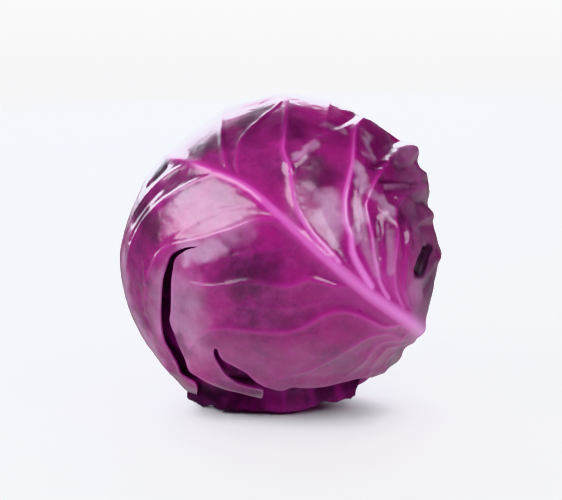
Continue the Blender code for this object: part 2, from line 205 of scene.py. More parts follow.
class Leaf:
    """A blade: its own plane map, outline and veins."""

    def __init__(self, middle, toward, outline, pitch):
        self.pitch = pitch
        self.c = middle
        self.u = unit(toward - (toward @ middle) * middle)
        self.v = np.cross(self.u, self.c)
        self.ring = curve(self.flat(outline), pitch * 0.8, True)
        self.coarse = curve(self.flat(outline), MARGIN_PITCH, True)
        fine = curve(self.flat(outline), MARGIN_STEP, True)
        self.margin = tree_of(self.round(fine) * HEAD_RADIUS)
        self.margin_plane = tree_of(np.c_[fine, np.zeros(len(fine))])
        self.veins = []

    def flat(self, d):
        """Plane point of a direction: arc length from the leaf's middle, true bearing."""
        angle = np.arccos(np.clip(d @ self.c, -1, 1))
        bearing = np.arctan2(d @ self.v, d @ self.u)
        return HEAD_RADIUS * angle[:, None] * np.stack([np.cos(bearing), np.sin(bearing)], 1)

    def round(self, q):
        """Direction of a plane point."""
        angle = np.linalg.norm(q, axis=1) / HEAD_RADIUS
        bearing = np.arctan2(q[:, 1], q[:, 0])
        side = np.cos(bearing)[:, None] * self.u + np.sin(bearing)[:, None] * self.v
        return np.cos(angle)[:, None] * self.c + np.sin(angle)[:, None] * side

    def to_margin(self, d):
        return tree_distance(d * HEAD_RADIUS, self.margin)

    def cover(self, d):
        """1 under this leaf, falling to 0 beyond its margin."""
        beyond = np.where(inside(self.flat(d), self.coarse), 0.0, self.to_margin(d))
        fade = FADE_AT_STEM + (FADE - FADE_AT_STEM) * smooth((stem_angle(d) - 18.0) / 24.0)
        return 1.0 - smooth((beyond - 2.0) / fade)

    def add_vein(self, line, height, width, shade):
        """A vein along directions, with the height and half width at its root and how much
        it lightens the blade."""
        at = curve(line, 5.0 / HEAD_RADIUS, False)
        self.veins.append((unit(at) * HEAD_RADIUS, height, width, shade))

    def vein_relief(self, d):
        """Height of the veins with the blade drawn up to them, and how far they lighten it."""
        p = d * HEAD_RADIUS
        rib, slope, light = np.zeros(len(d)), np.zeros(len(d)), np.zeros(len(d))
        for at, height, width, shade in self.veins:
            reach = DRAWN_OUT if height > DRAWS_UP else 3.0 * width
            low, top = at.min(axis=0) - reach, at.max(axis=0) + reach
            near = np.all((p > low) & (p < top), axis=1)
            if not near.any():
                continue
            dist, piece, share = arc_distance(p[near], at[:-1], at[1:])
            along = (piece + share) / (len(at) - 1)
            wide = width * (1.0 - 0.65 * along)
            rise = height * (1.0 - 0.6 * along) * smooth((1.0 - along) / 0.16)
            rib[near] = np.maximum(rib[near], rise * np.exp(-(dist / wide) ** 2))
            tint = shade * (1.0 - 0.75 * along) * np.exp(-(dist / (0.9 * wide)) ** 2)
            light[near] = np.maximum(light[near], tint)
            if height > DRAWS_UP:
                away = np.sqrt(dist ** 2 + (0.5 * wide) ** 2) - 0.5 * wide
                drawn = rise * np.exp(-away / TENT_REACH) * smooth((reach - dist) / 6.0)
                slope[near] = (slope[near] ** 4 + drawn ** 4) ** 0.25
        return RIB_SHARE * rib + slope, light


# outline of the front leaf in the front view: lower margin, hooked tear, long tear, and the
# margin that wraps around the left and the top
LOWER = [(64.5, -48.0), (61, -53), (55.5, -60), (48, -61.5), (40, -61.5), (30, -63.3),
         (21, -65.0), (12, -65.5), (6.5, -65.3), (0.5, -66.3), (-5, -65.5), (-10.5, -63.8),
         (-17, -60.6), (-23, -58), (-27.5, -56), (-30.6, -53.5), (-32.4, -50.4)]
HOOK = [(-33.8, -51.2), (-33.4, -54.5), (-31, -58.5), (-27, -63.3), (-21, -66.8), (-14, -68.3),
        (-8.5, -69.0), (-9, -73.3), (-13.5, -72.3), (-19, -70.8), (-27.5, -69.3),
        (-33.5, -67.3), (-41, -63.0)]
TEAR = [(-44.8, -60.2), (-46.6, -57.0), (-48.3, -52.8), (-50.9, -47.0), (-53.6, -41.3),
        (-55.4, -35.5), (-55.3, -31), (-55.2, -24), (-54.9, -16), (-53.7, -9.5), (-51.6, -4.2),
        (-47, -0.6), (-40, 1.6), (-47, 0.9), (-52.4, -1.8), (-55, -5.5), (-56.9, -10.5),
        (-58.3, -16), (-59.0, -24), (-59.2, -30), (-58.9, -36), (-58.2, -41.5), (-56.6, -47),
        (-53.6, -52.8), (-51.0, -58), (-49.2, -62), (-45.6, -64.6), (-42.2, -66.8),
        (-41.0, -70.0)]
WRAP = [(-42.3, -73.6), (-49, -77.5), (-56, -74), (-68, -66), (-80, -52), (-90, -36), (-96, -18),
        (-98, 2), (-97, 22), (-96, 42), (-93, 62), (-84, 80), (-70, 90), (-50, 98), (-28, 101),
        (-8, 98), (12, 95), (28, 91), (42, 84), (54, 75), (65, 65), (74, 54), (80, 43),
        (84, 31), (86, 19), (86.5, 7), (86, -5), (84.5, -17), (81.5, -26)]
MIDRIB = [(68, -38.5), (45, -22.5), (23.5, -5), (7, 10), (-3.5, 19), (-15.5, 28.5), (-31, 36),
          (-41.5, 40.5), (-53, 44.5), (-60, 46.5)]
# side veins, each from the midrib outwards: height, half width, lightness, line
SIDE_VEINS = [
    (1.5, 2.0, 0.40, [(64, -31), (61.5, -22), (61, -12.5), (62, 2), (64, 9), (69, 14),
                      (76, 17.5)]),
    (1.7, 2.0, 0.60, [(59, -27.5), (56.5, -21), (55, -10), (56, 7.5), (55.5, 14), (57, 20.5),
                      (61, 26.8), (66.8, 29.7), (73.5, 31.5)]),
    (1.1, 1.4, 0.35, [(54, -24.5), (51.5, -15), (50, -4), (50.5, 7), (50.7, 13.5), (48.5, 25),
                      (46.5, 29)]),
    (1.8, 2.0, 0.85, [(52, -23), (48, -15.5), (45.5, -1), (44.5, 7.5), (43.2, 13.6),
                      (42.4, 22.8), (44, 26.5), (46.7, 33.7), (52.4, 42.3), (60, 52)]),
    (0.9, 1.3, 0.25, [(45.5, -18.5), (42, -9), (40, 2), (39, 14), (38.5, 26), (39.5, 38),
                      (42, 47)]),
    (2.2, 3.0, 1.00, [(43.5, -17.5), (38.5, -8.5), (35, -1), (34.2, 7.5), (32.3, 13.6),
                      (32.3, 25), (33.5, 33.7), (35.2, 42.3), (35.5, 50.5), (36.4, 58.5),
                      (41, 66), (46, 72)]),
    (2.0, 2.6, 0.75, [(28, -6), (19, 3.9), (14, 10.7), (9.4, 17.6), (6.5, 25), (5.4, 33.7),
                      (4.2, 40.6), (1.5, 48), (2.5, 58), (3, 69.5), (2, 78)]),
    (1.3, 1.8, 0.30, [(4.2, 40.6), (9, 43.5), (16.8, 52.6), (23, 55.5), (30, 59), (37.5, 63.5),
                      (46, 68)]),
    (1.0, 1.6, 0.25, [(23, 55.5), (22, 62), (23.5, 69), (24, 77)]),
    (1.3, 1.6, 0.25, [(4, 17), (-8, 23), (-17, 31), (-20, 39.5), (-19, 50), (-13.8, 57.8),
                      (-7.5, 64.7), (-1, 70.5), (6, 77)]),
    (1.4, 1.8, 0.28, [(-12, 27), (-20, 32), (-24.2, 37.8), (-26.5, 45.8), (-27.6, 56.7),
                      (-27.6, 66), (-24, 72), (-20, 80)]),
    (0.8, 1.2, 0.15, [(-36, 38.5), (-40, 41), (-44, 48), (-46, 56), (-45, 66)]),
    (1.2, 1.5, 0.25, [(-38, 40), (-47.5, 38.5), (-56.5, 33.5), (-65, 26.3), (-71.8, 16.5),
                      (-77, 5), (-80, -8)]),
    (1.6, 1.8, 0.30, [(-26, 35), (-39, 31.5), (-49.5, 26.8), (-57.5, 21.7), (-68.4, 10.8),
                      (-73, 1), (-75, -12), (-74, -30)]),
    (0.6, 1.4, 0.12, [(-10, 20), (-22, 19.5), (-34, 16), (-45, 10), (-55, 3), (-64, -8),
                      (-68, -24)]),
    (1.9, 2.0, 0.40, [(10, 8.5), (-1.5, 14), (-10.5, 13.5), (-21.8, 10.2), (-33.3, 6.7),
                      (-43, 4.6), (-51, 2.6), (-60, -3), (-65, -14), (-67, -30)]),
    (0.6, 1.3, 0.12, [(22, 0), (8, 2), (-8, 0), (-22, -3), (-36, -6), (-50, -9)]),
    (1.9, 1.9, 0.42, [(44, -20.5), (35, -17.5), (27, -18.0), (20, -15.8), (14, -14.5),
                      (5, -17.2), (-5, -17.5), (-16, -16), (-27.6, -18), (-34.5, -18.6),
                      (-41.4, -17.8), (-48.3, -16.6), (-56.3, -18.9)]),
    (0.6, 1.3, 0.10, [(46, -23), (36, -24.5), (22, -25), (8, -28), (-8, -29), (-24, -29),
                      (-40, -31), (-54, -32)]),
    (1.9, 2.1, 0.48, [(60, -35), (51.2, -37.5), (45.5, -35.5), (38.5, -32), (29.5, -30),
                      (20, -32), (12, -36), (2.5, -39.5), (-10.4, -41), (-24.8, -40.4),
                      (-32.2, -39.9), (-36.2, -40.7), (-41.4, -44.2), (-44.8, -48.5),
                      (-50, -56)]),
    (1.4, 1.7, 0.40, [(62, -39), (58.5, -43), (52.5, -40.8), (43.8, -42.5), (35, -47),
                      (23.7, -52.8), (12.2, -58), (0, -62), (-12, -64.5)]),
    (1.3, 1.5, 0.38, [(64, -41), (58, -44), (52.5, -44), (46.5, -47.5), (41, -54.5),
                      (35, -59), (28, -63)]),
    (1.3, 1.5, 0.35, [(65, -42), (59.3, -46), (52.5, -47.5), (47.8, -52.8), (43.8, -58.5),
                      (41, -62)]),
    (1.1, 1.4, 0.30, [(66, -43), (61, -47.5), (56, -50), (52, -55), (49, -61)]),
    (1.0, 1.4, 0.28, [(66, -44.5), (63, -49), (59.5, -53), (56, -59)])]


def near_line(d, points, reach):
    """1 on a line given in the front view, falling to 0 at the reach."""
    at = seen(*np.array(points, float).T) * HEAD_RADIUS
    return 1.0 - smooth(arc_distance(d * HEAD_RADIUS, at[:-1], at[1:])[0] / reach)


def envelope(d):
    """Radius of the head where its outermost leaf lies plain."""
    x, z, y = d @ RIGHT, d @ RISE, d @ NEAR
    s = np.hypot(x, z)
    plain = 1.0 / np.sqrt((s / HEAD_RADIUS) ** 2 + (y / HEAD_HALF_DEPTH) ** 2)
    return plain + (limb(np.arctan2(z, x)) - HEAD_RADIUS) * s ** 4


# lifts and hollows of the front leaf: height, reach, line in the front view
FOLDS = [
    (1.3, 8.0, [(-51, 1.5), (-57, -4), (-60, -14), (-61.5, -30), (-60.5, -41), (-55, -57.5)]),
    (-1.1, 5.0, [(-48, -2.2), (-53, -11.5), (-54.5, -31), (-52, -42)]),
    (1.8, 9.0, [(50, -59), (37, -62.5), (20, -65), (0, -66), (-12, -64.5)]),
    (0.8, 6.0, [(-45, -60), (-32, -66), (-12, -71)]),
    (1.2, 6.0, [(-28, -55), (-22, -58), (-12, -64), (0, -66)]),
    (4.2, 9.5, [(63, 47.0), (67, 50.5)]),
    (1.6, 8.0, [(70, 33), (74, 35)]),
    (-3.4, 9.0, [(78, 15), (78.5, 8)]),
    (1.4, 6.0, [(80, -1.5), (77.5, -3.5)]),
    (-2.2, 7.0, [(78, -12), (77, -20), (75, -28)]),
    (-2.0, 6.0, [(63.5, -50), (60, -47)]),
    (1.4, 7.0, [(57, -59)]),
    (1.3, 4.5, [(62.0, 49.0), (66.5, 46.0)]),
    (-1.4, 5.0, [(46, 44.5), (51, 42.0)]),
    (0.9, 4.5, [(53, 18), (54.5, 10)]),
    (-0.8, 5.0, [(60, 8), (60.5, 0)]),
    (0.8, 5.0, [(-46, 1.5), (-36, 2.5)]),
    (0.9, 4.0, [(4.2, 40.6), (4.4, 39)]),
    (-1.2, 7.0, [(60.5, 20), (62.5, 17.5)]),
    (0.8, 7.0, [(-45, -67), (-46.5, -70)]),
    (1.0, 10.0, [(-8, 74), (-16, 72)]),
    (-0.8, 10.0, [(14, 60), (12, 66)]),
    (-1.2, 11.0, [(20, 38), (20, 30)]),
    (1.0, 6.0, [(56, 12), (58, 0)]),
    (-1.2, 6.0, [(64, -16), (64, -24)]),
]
# creases and crisp ridges: height, reach, line in the front view
CREASES = [
    (-2.2, 7.0, [(45, 47.5), (52, 52), (58, 57)]),
    (-1.8, 4.5, [(43.5, 40.5), (49, 44.5), (55, 50), (61, 56)]),
    (-1.0, 3.0, [(56.0, 52), (55.5, 46), (58, 41.5), (63, 41), (67, 45)]),
    (0.9, 3.0, [(66.8, 43), (70.5, 39), (74, 37)]),
    (-1.0, 3.0, [(50, 21), (53, 24), (58, 26)]),
    (-0.8, 3.0, [(56, 18), (60, 12), (62, 4)]),
    (0.7, 2.6, [(47.5, 16), (48.5, 6), (49.5, -2)]),
    (-0.9, 3.2, [(66.5, 19), (64.5, 12), (64.5, 4)]),
    (-1.8, 5.5, [(55.5, 47), (58.5, 41.2), (63.5, 41), (68, 45.5), (74, 49)]),
    (1.0, 4.5, [(43.8, 26.3), (46.7, 33.7), (52.4, 42.3), (54.7, 44.6)]),
    (-2.0, 4.5, [(49, 33.9), (56, 34.6), (66, 33.2), (76, 34.4)]),
    (1.0, 2.8, [(50, 31.9), (60, 32.3), (66, 32.0)]),
    (-1.5, 3.6, [(51, 30.3), (60, 29.7), (66.8, 30.8)]),
    (-3.4, 6.0, [(64.5, 25), (70, 24), (80, 23.6), (86, 23.6)]),
    (1.2, 4.0, [(62, 24.6), (67.3, 22.2), (70.2, 19.4), (71.0, 13.5)]),
    (-1.8, 5.0, [(67.5, 10.5), (72, 12), (79, 12.5), (84, 12.5)]),
    (-4.5, 4.6, [(72.6, 2.0), (70.6, -3), (68.6, -8), (66.6, -13)]),
    (1.5, 5.0, [(78, -2), (75, -6.5), (71.5, -11.5), (67.5, -17)]),
    (-1.0, 4.5, [(75, -13), (72, -18), (70, -21.5)]),
    (-1.6, 5.0, [(25, 58.8), (31, 62.3), (37.5, 65.5), (44, 70)]),
    (-1.0, 5.0, [(30, 66), (36, 67), (42, 72)]),
    (-1.1, 4.0, [(-66, 30), (-58, 36.5), (-53, 41)]),
    (-0.8, 3.5, [(-72, 12), (-64, 23), (-55, 30)]),
    (-0.9, 4.0, [(48, 20), (47, 8), (48, -6)]),
    (-0.7, 3.0, [(-14, -20), (-22, -30), (-26, -38)]),
    (0.6, 3.5, [(-44.5, -47), (-45.5, -54), (-43, -60)]),
    (0.9, 3.6, [(-74.5, -16), (-73.4, -27), (-66, -41), (-58, -53), (-50, -64)]),
    (-0.7, 3.4, [(-69, -16), (-68.5, -28), (-62, -43), (-55, -54)]),
    (0.8, 3.0, [(-66.5, -4), (-65.5, -18)]),
    (0.6, 3.0, [(-68, -32), (-63.5, -27.5), (-62, -26)]),
    (-0.8, 3.4, [(-74, 3), (-70, 10), (-62, 22)]),
]
# places where the wax lies thick, with painted sheen and painted highlights among them on lit
# facets and on the lower part that faces the floor: strength, reach, line in the front view
WAX_AND_SHEEN = [
    (0.45, 28.0, [(-52, -24), (-48, -45)]), (0.22, 34.0, [(-20, -58), (20, -58), (52, -50)]),
    (0.55, 12.0, [(-77, -4), (-74, -28), (-60, -52)]), (0.22, 22.0, [(14, 22), (26, 16)]),
    (0.36, 24.0, [(62, 46), (68, 20), (70, -30)]), (0.5, 14.0, [(68, -18), (66, -34), (70, -42)]),
    (0.75, 10.0, [(23, 26), (27, 10)]), (0.75, 5.0, [(38.5, 41), (39.5, 30)]),
    (0.7, 5.0, [(39.5, 24), (37.5, 9)]), (0.7, 5.0, [(42.5, 57), (43.5, 48)]),
    (0.6, 4.5, [(23, 60), (30, 58.5)]), (0.6, 4.5, [(9, 44.5), (18, 52)]),
    (0.7, 4.5, [(51, 25), (53, 17)]), (0.6, 4.0, [(45, 28), (47.5, 27)]),
    (0.7, 9.0, [(-45, -1.5), (-31, 1.5)]), (0.5, 3.0, [(53, 31.8), (64, 32.2)]),
    (0.5, 3.5, [(46, 4), (47, -8)]), (0.5, 6.0, [(60, 50), (66, 48)]),
    (0.4, 17.0, [(-44, 22), (-32, 19), (-22, 12)]), (0.45, 4.0, [(40, 12), (42, 0), (47, -11)]),
    (0.45, 4.0, [(53, 8), (53.5, -10)]),
]
# painted shade: places where the blade is painted darkest because it lies in shade, the slit and
# the shaded creases among them
PAINTED_SHADE_PLACES = [
    (0.75, 13.0, [(-69, 22), (-61, 9)]), (0.85, 14.0, [(-18, 60), (-10, 67)]),
    (0.75, 13.0, [(-40, 47), (-28, 52)]), (0.95, 9.0, [(-61, 35), (-55, 42)]),
    (0.5, 14.0, [(-22, -14), (-8, -12)]), (0.5, 10.0, [(8, 56), (14, 60)]),
    (1.0, 4.0, [(73, 2), (70.6, -3), (68.6, -8), (67, -12)]),
    (1.0, 4.2, [(74.8, 1), (72.8, -3.5), (70.8, -8.5), (69, -12)]),
    (1.0, 4.2, [(73.9, 1.5), (71.7, -3.2), (69.7, -8.3), (68, -12)]),
    (0.7, 2.4, [(49, 33.9), (56, 34.6), (66, 33.2), (76, 34.4)]),
    (0.6, 3.0, [(56, 52), (56, 46), (58.5, 41.2), (63.5, 41)]), (0.7, 5.0, [(45, 43), (51, 44)]),
    (0.5, 3.0, [(55, 55), (48, 48)]), (0.6, 2.4, [(53, 29.6), (66.8, 30.6)]),
    (0.5, 5.0, [(58, 19), (59.5, 14)]), (0.5, 5.0, [(63, 10), (65, 4)]),
    (0.6, 3.0, [(66, 24), (74, 23.8)]), (0.5, 6.0, [(-50, -45), (-47, -51)]),
    (0.6, 9.0, [(18, 42), (22, 36)]), (0.48, 26.0, [(50, 52), (62, 34), (71, 8), (74, -18)]),
    (0.5, 20.0, [(-38, 50), (-20, 58), (-4, 62), (12, 61), (26, 58)]),
]
# wax everywhere else, and the reach above which a place has a ragged edge
THIN_WAX = 0.06
RAGGED_FROM = 4.2


def creased(d, points, reach):
    """1 on a line given in the front view, falling straight to 0 at the reach and at its
    two ends."""
    at = unit(curve(seen(*np.array(points, float).T), 3.0 / HEAD_RADIUS, False)) * HEAD_RADIUS
    near, piece, share = arc_distance(d * HEAD_RADIUS, at[:-1], at[1:])
    along = (piece + share) / (len(at) - 1)
    ends = smooth(np.minimum(along, 1.0 - along) / 0.16)
    return ends * np.clip(1.0 - np.sqrt(near ** 2 + 0.16) / reach, 0.0, 1.0) ** 1.5


def folds(d):
    """Height of the front leaf over its plain course."""
    total = sum(height * near_line(d, line, reach) for height, reach, line in FOLDS)
    return total + sum(height * creased(d, line, reach) for height, reach, line in CREASES)


def hollow(d):
    """How far the front leaf's hollows push in what lies below it."""
    return np.maximum(0.0, -folds(d) - 0.2)


def patches(d, ragged, places, gain):
    """Strongest of the places at each point; the wide ones follow the ragged directions."""
    total = np.zeros(len(d))
    for strength, reach, line in places:
        near = near_line(ragged if reach > RAGGED_FROM else d, line, reach)
        total = np.maximum(total, strength * np.minimum(1.0, gain * near))
    return total


def branch_veins(leaf, seed, spacing, length, height, width, shade):
    """Finer veins that leave the side veins at a slant, alternately to either side."""
    draw = np.random.default_rng(seed)
    for at, _, _, _ in list(leaf.veins):
        steps = np.linalg.norm(np.diff(at, axis=0), axis=1)
        run = np.concatenate([[0], np.cumsum(steps)])
        place, side = draw.uniform(3.0, 8.0), 1.0
        while place < run[-1] - 2.0:
            k = min(int(np.searchsorted(run, place)) - 1, len(at) - 2)
            start = at[k] + (at[k + 1] - at[k]) * (place - run[k]) / steps[k]
            ahead = unit(at[k + 1] - at[k])
            out = side * np.cross(unit(start), ahead)
            slant = draw.uniform(0.6, 1.0)
            bend = draw.uniform(-0.25, 0.35)
            long = length * draw.uniform(0.6, 1.25)
            t = np.linspace(0, 1, 5)[:, None]
            way = unit(ahead * (1.0 - 0.5 * slant) + out * slant)
            line = start + long * t * way + long * bend * t * t * ahead
            leaf.veins.append((unit(line) * HEAD_RADIUS, height, width, shade))
            place += spacing * draw.uniform(0.6, 1.4)
            side = -side


def blade_plane(leaf):
    """Triangles of a leaf plane inside its outline."""
    ring, pitch = leaf.ring, leaf.pitch
    n = int(2.2 * HEAD_RADIUS / pitch)
    i, j = np.meshgrid(np.arange(-n, n + 1), np.arange(-n, n + 1))
    grid = np.stack([(i + 0.5 * (j % 2)).ravel() * pitch, j.ravel() * pitch * 0.866], 1)
    grid = grid[np.all((grid > ring.min(axis=0)) & (grid < ring.max(axis=0)), axis=1)]
    grid = grid[inside(grid, ring)]
    far = tree_distance(np.c_[grid, np.zeros(len(grid))], leaf.margin_plane)
    grid = grid[far > 0.62 * pitch]
    edges = [(k, (k + 1) % len(ring)) for k in range(len(ring))]
    points = [Vector(q) for q in np.concatenate([ring, grid])]
    verts, _, faces, _, _, _ = delaunay_2d_cdt(points, edges, [], 0, 0.02)
    verts = np.array([tuple(v) for v in verts])
    faces = np.array([tuple(f) for f in faces])
    corners = verts[faces]
    e1, e2 = corners[:, 1] - corners[:, 0], corners[:, 2] - corners[:, 0]
    area = 0.5 * (e1[:, 0] * e2[:, 1] - e1[:, 1] * e2[:, 0])
    keep = inside(corners.mean(axis=1), ring) & (np.abs(area) > 1e-4)
    faces = np.where((area > 0)[:, None], faces, faces[:, ::-1])[keep]
    used = np.unique(faces)
    index = np.full(len(verts), -1)
    index[used] = np.arange(len(used))
    return verts[used], index[faces]


def make_piece(node, verts, faces, masks):
    """Mesh object in metres that stands for a solid, with one value a point for each mask."""
    name = node + "_skin"
    mesh = bpy.data.meshes.new(name)
    mesh.from_pydata((np.asarray(verts) * 0.001).tolist(), [], np.asarray(faces).tolist())
    mesh.update()
    mesh.shade_smooth()
    mesh.set_sharp_from_angle(angle=math.radians(75.0))
    for mask, values in masks.items():
        kept = mesh.attributes.new(mask, "FLOAT", "POINT")
        kept.data.foreach_set("value", np.asarray(values, np.float32))
    piece = bpy.data.objects.new(name, mesh)
    bpy.context.scene.collection.objects.link(piece)
    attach(piece, "root")
    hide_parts(node)
    return piece


def blade_piece(node, d, faces, outer, inner, masks):
    """Closed thin blade between two radii over the same triangles."""
    n = len(d)
    p, q, r = d[faces[0]]
    if np.cross(q - p, r - p) @ p < 0:
        faces = faces[:, ::-1]
    half = np.concatenate([faces[:, [0, 1]], faces[:, [1, 2]], faces[:, [2, 0]]])
    key = half[:, 0].astype(np.int64) * n + half[:, 1]
    back = half[:, 1].astype(np.int64) * n + half[:, 0]
    a, b = half[~np.isin(key, back)].T
    wall = np.concatenate([np.stack([b, a, a + n], 1), np.stack([b, a + n, b + n], 1)])
    verts = np.concatenate([CENTRE + d * outer[:, None], CENTRE + d * inner[:, None]])
    every = np.concatenate([faces, faces[:, ::-1] + n, wall])
    masks = {k: np.concatenate([v, v]) for k, v in masks.items()}
    return make_piece(node, verts, every, masks)


class Wire:
    """A shader socket that takes part in Python arithmetic."""

    def __init__(self, skin, socket):
        self.skin, self.socket = skin, socket

    def math(self, operation, first, second):
        return self.skin.node("ShaderNodeMath", {"operation": operation}, {0: first, 1: second})

    def __add__(self, other):
        return self.math("ADD", self, other)

    def __radd__(self, other):
        return self.math("ADD", other, self)

    def __rsub__(self, other):
        return self.math("SUBTRACT", other, self)

    def __mul__(self, other):
        return self.math("MULTIPLY", self, other)


class Skin:
    """A node material, built one node at a time."""

    def __init__(self, name):
        self.material = bpy.data.materials.new(name)
        self.material.use_nodes = True
        self.tree = self.material.node_tree
        self.shader = self.tree.nodes["Principled BSDF"]
        place = self.tree.nodes.new("ShaderNodeTexCoord")
        self.place = Wire(self, place.outputs["Object"])

    def fill(self, socket, value):
        if isinstance(value, Wire):
            self.tree.links.new(value.socket, socket)
        else:
            socket.default_value = value

    def node(self, kind, settings, sockets, output=0):
        made = self.tree.nodes.new(kind)
        for key, value in settings.items():
            if key == "stops":
                ramp = made.color_ramp
                while len(ramp.elements) < len(value):
                    ramp.elements.new(0.5)
                for stop, (at, grey) in zip(ramp.elements, value):
                    stop.position, stop.color = at, (grey, grey, grey, 1.0)
            else:
                setattr(made, key, value)
        for key, value in sockets.items():
            self.fill(made.inputs[key], value)
        return Wire(self, made.outputs[output])

    def mask(self, name):
        return self.node("ShaderNodeAttribute", {"attribute_name": name}, {}, "Fac")

    def cloud(self, scale, detail, roughness=0.55):
        return self.node("ShaderNodeTexNoise", {},
                         {"Vector": self.place, "Scale": scale, "Detail": detail,
                          "Roughness": roughness}, "Fac")

    def ramp(self, value, *stops):
        return self.node("ShaderNodeValToRGB", {"stops": stops}, {"Fac": value})

    def mix(self, share, first, second):
        return self.node("ShaderNodeMix", {"data_type": "RGBA"},
                         {0: share, 6: first, 7: second}, 2)

    def finish(self, **sockets):
        for key, value in sockets.items():
            self.fill(self.shader.inputs[key.replace("_", " ")], value)
        return self.material


def tint(red, green, blue):
    return (red, green, blue, 1.0)


VEIN = tint(0.50, 0.10, 0.38)
FRONT_VEIN = tint(0.70, 0.20, 0.60)
FLECKS = tint(0.36, 0.03, 0.22)
BESIDE_VEIN = tint(0.40, 0.02, 0.24)
MARGIN = tint(0.40, 0.05, 0.26)
# grey of the thick wax, also used for painted sheen and painted highlights
WAX_AND_SHEEN_FILM = tint(0.50, 0.30, 0.47)
# near black that painted shade pulls the colour towards
PAINTED_SHADE_TINT = tint(0.02, 0.001, 0.014)


def leaf_skin(name, dark, mid, vein, shine, gloss=0.7):
    """Waxy leaf: mottled purple, lighter veins, a grey coat where the wax is thick that also
    carries painted sheen and highlights, painted shade at the dark places, and a soft gloss."""
    skin = Skin(name)
    rib, bloom, edge, deep = (skin.mask(mask) for mask in ("rib", "bloom", "edge", "deep"))
    broad = skin.ramp(skin.cloud(38.0, 3.0), (0.34, 0.0), (0.66, 1.0))
    speck = skin.cloud(420.0, 3.0, 0.65)
    colour = skin.mix(broad, dark, mid)
    fleck = skin.ramp(skin.cloud(170.0, 4.0, 0.6), (0.45, 0.0), (0.78, 0.45))
    colour = skin.mix(fleck, colour, FLECKS)
    colour = skin.mix(skin.ramp(rib, (0.0, 0.0), (0.5, 1.0)), colour, BESIDE_VEIN)
    colour = skin.mix(skin.ramp(rib, (0.35, 0.0), (1.0, 1.0)), colour, vein)
    colour = skin.mix(edge * 0.5, colour, MARGIN)
    # the grey wax coat, which also carries painted sheen and painted highlights
    patchy = skin.ramp(skin.cloud(110.0, 4.0, 0.6), (0.3, 0.55), (0.7, 1.0))
    waxy_sheen_film = bloom * patchy
    colour = skin.mix(waxy_sheen_film, colour, WAX_AND_SHEEN_FILM)
    # painted shade: the colour goes towards near black where the leaf lies in shade
    colour = skin.mix(deep, colour, PAINTED_SHADE_TINT)
    grain = skin.cloud(1300.0, 2.0, 0.6)
    relief = speck * 0.35 + grain * 0.2
    normal = skin.node("ShaderNodeBump", {}, {"Strength": 0.32, "Distance": 0.0003,
                                              "Height": relief})
    roughness = shine + waxy_sheen_film * 0.22 + deep * 0.3 + speck * 0.08
    return skin.finish(Base_Color=colour, Roughness=roughness,
                       Coat_Weight=gloss - deep * (0.9 * gloss), Coat_Roughness=0.15,
                       Specular_IOR_Level=0.2 + 0.4 * gloss, Normal=normal)


# the foot of the leaf around the stem, then its margin
base = around(np.full(5, 11.2), np.array([38.0, 18.0, 0.0, -18.0, -34.0]))
outline = np.concatenate([base, seen(*np.array(LOWER + HOOK + TEAR + WRAP, float).T)])
front = Leaf(NEAR, RIGHT, outline, FRONT_PITCH)
front.add_vein(seen(*np.array(MIDRIB, float).T), MIDRIB_HEIGHT, MIDRIB_WIDTH, 1.0)
for height, width, shade, line in SIDE_VEINS:
    front.add_vein(seen(*np.array(line, float).T), height, width, shade)
branch_veins(front, 5, 6.0, 10.0, 0.28, 0.7, 0.18)

plane, faces = blade_plane(front)
d = front.round(plane)
high, light = front.vein_relief(d)
margin = front.to_margin(d)
# broad waves, finer ones at the crumpled side and fine ridges; the margin itself stays calm
crumple = near_line(d, [(60, 46), (66, 24), (70, -6)], 24.0)
wrinkle = 0.2 * layered(d, 14.0, 3, 3) + crumple * 0.45 * layered(d, 9.0, 11, 2)
wrinkle = wrinkle + 0.12 * np.maximum(0.0, 1.0 - np.abs(layered(d, 6.0, 23, 2)) / 0.16)
calm = smooth(margin / 4.0)
course = envelope(d) + folds(d) + wrinkle * calm
outer = course + high
inner = course + 0.6 * high - BLADE
ragged = unit(d + 0.03 * np.stack([layered(d, 7.0, 90 + k, 3) for k in range(3)], 1))
# thick wax together with painted sheen and painted highlights
bloom = np.maximum(THIN_WAX, patches(d, ragged, WAX_AND_SHEEN, 1.3))
# painted shade over the dark lobes, the slit and the creases
deep = patches(d, ragged, PAINTED_SHADE_PLACES, 1.0)
# the pale fan where the side veins leave the midrib
light = np.maximum(light, 0.4 * near_line(d, [(40, -12), (52, -16), (60, -25)], 28.0))
front_piece = blade_piece("front_leaf", d, faces, outer, inner,
                          {"rib": light, "bloom": bloom, "deep": deep,
                           "edge": 1.0 - smooth(margin / EDGE_WIDTH)})
front_piece.data.materials.append(leaf_skin(
    "front_leaf_wax", tint(0.105, 0.006, 0.062), tint(0.27, 0.010, 0.135), FRONT_VEIN, 0.24))

# Under leaf: the next wrapper leaf, crinkled, with its colour painted dark as shade. It lies
# below the front leaf, shows in its tears and along the bottom, and carries the head on a small
# flattened spot.
DOWN = np.array([0.0, 0.0, -1.0])
TEAR_LINE = TEAR[3:13:3]
HOOK_LINE = [(-47, -60), (-30, -66), (-10, -69)]
CRUMPLE = [(62, 46), (60, 24), (68, -8)]
# half outline of a whole leaf: degrees from the stem, share of the half width
HALF = [(11.2, 0.0), (11.2, 0.2), (11.6, 0.36), (15, 0.5), (21, 0.64), (30, 0.78), (42, 0.9),
        (56, 0.97), (72, 1.0), (90, 1.0), (108, 0.95), (124, 0.86), (138, 0.7), (149, 0.5),
        (155, 0.26), (157, 0.0)]
# waves along a whole leaf's margin, in degrees, and its side veins on either side
MARGIN_WAVE = 3.0
SIDE_VEIN_PAIRS = 8
# the calm zone around the flat spot and the width of its fading, in degrees from straight down
FLAT_ANGLE, FLAT_FADE = 23.0, 12.0
leaves_over = [front]


